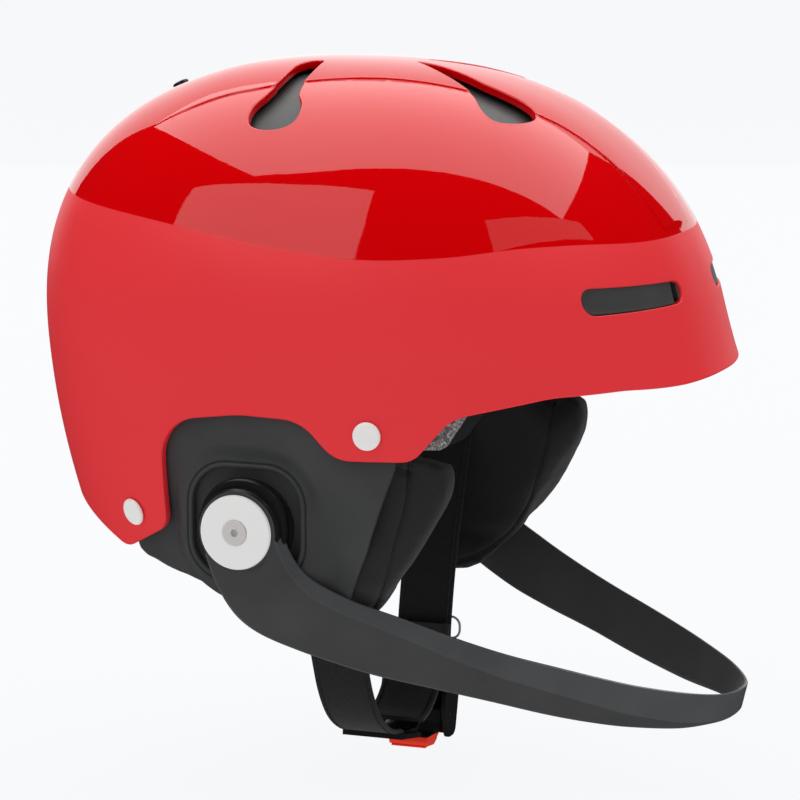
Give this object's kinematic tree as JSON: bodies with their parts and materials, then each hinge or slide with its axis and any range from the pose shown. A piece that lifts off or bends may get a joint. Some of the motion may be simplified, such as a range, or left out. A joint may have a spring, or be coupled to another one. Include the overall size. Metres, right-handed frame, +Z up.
{
  "type": "ski helmet",
  "caption": "Hard-shell ski helmet with padded ear covers, a swinging chin guard, a crown vent shutter and a chin strap with a ratchet buckle.",
  "frame": {"origin": "middle of the head cavity, level with the lower rim of the shell at the ears", "axes": "+X towards the wearer's front, +Y towards the wearer's left, +Z up through the crown"},
  "size_m": [0.2799, 0.2322, 0.2829],
  "materials": {
    "aluminium": "satin",
    "black_fabric": "matte",
    "black_plastic": "satin",
    "dark_plastic": "satin",
    "foam": "matte expanded foam",
    "orange_plastic": "satin",
    "red_lacquer": "gloss above the paint line, satin matte below",
    "rubber": "matte",
    "steel": "satin",
    "webbing": "woven"
  },
  "bodies": {
    "helmet": {"brow_pad": "black_fabric", "buckle_body": "black_plastic", "buckle_flap": "black_fabric", "crown_pad": "black_fabric", "ear_cover_left": "dark_plastic", "ear_cover_right": "dark_plastic", "ear_pad_left": "black_fabric", "ear_pad_right": "black_fabric", "friction_ring_left": "rubber", "friction_ring_right": "rubber", "front_rivet_left": "steel", "front_rivet_right": "steel", "goggle_clip_base": "black_plastic", "impact_liner": "foam", "lever_pin": "steel", "lever_spring": "steel", "nape_pad": "black_fabric", "outer_shell": "red_lacquer", "pivot_base_left": "black_plastic", "pivot_base_right": "black_plastic", "pivot_nut_left": "steel", "pivot_nut_right": "steel", "pivot_screw_left": "steel", "pivot_screw_right": "steel", "rear_rivet_left": "steel", "rear_rivet_right": "steel", "strap_anchor_left": "steel", "strap_anchor_right": "steel", "strap_left": "webbing", "strap_ring": "steel", "temple_pad_left": "black_fabric", "temple_pad_right": "black_fabric", "vent_insert_left": "dark_plastic", "vent_insert_right": "dark_plastic", "strap_right": "webbing"},
    "chin_guard_set": {"chin_guard": "dark_plastic", "pivot_washer_right": "aluminium", "pivot_washer_left": "aluminium"},
    "vent_shutter_set": {"vent_shutter": "dark_plastic", "vent_slider_knob": "black_plastic"},
    "tongue": {"buckle_tongue": "black_plastic"},
    "lever": {"buckle_lever": "orange_plastic"},
    "goggle_flap": {"goggle_clip_flap": "rubber"}
  },
  "joints": [
    {"name": "chin_guard_swing", "type": "hinge", "parent": "helmet", "child": "chin_guard_set", "pos_m": [-0.014, 0, -0.027], "axis": [0, -1, 0], "range_deg": [-25, 2]},
    {"name": "vent_slide", "type": "hinge", "parent": "helmet", "child": "vent_shutter_set", "pos_m": [-0.008, 0, -0.016], "axis": [0, -1, 0], "range_deg": [0, 4.9]},
    {"name": "tongue_slide", "type": "slide", "parent": "helmet", "child": "tongue", "axis": [0, -0.7071, -0.7071], "range_m": [0, 0.018], "deforming": ["strap_right"]},
    {"name": "lever_release", "type": "hinge", "parent": "helmet", "child": "lever", "pos_m": [0, 0.0415, -0.13], "axis": [1, 0, 0], "range_deg": [0, 15], "stiffness_Nm_per_rad": 0.05, "springref_deg": -11.46},
    {"name": "goggle_flap_lift", "type": "hinge", "parent": "helmet", "child": "goggle_flap", "pos_m": [-0.129, 0, 0.0145], "axis": [0, 1, 0], "range_deg": [0, 70]}
  ]
}
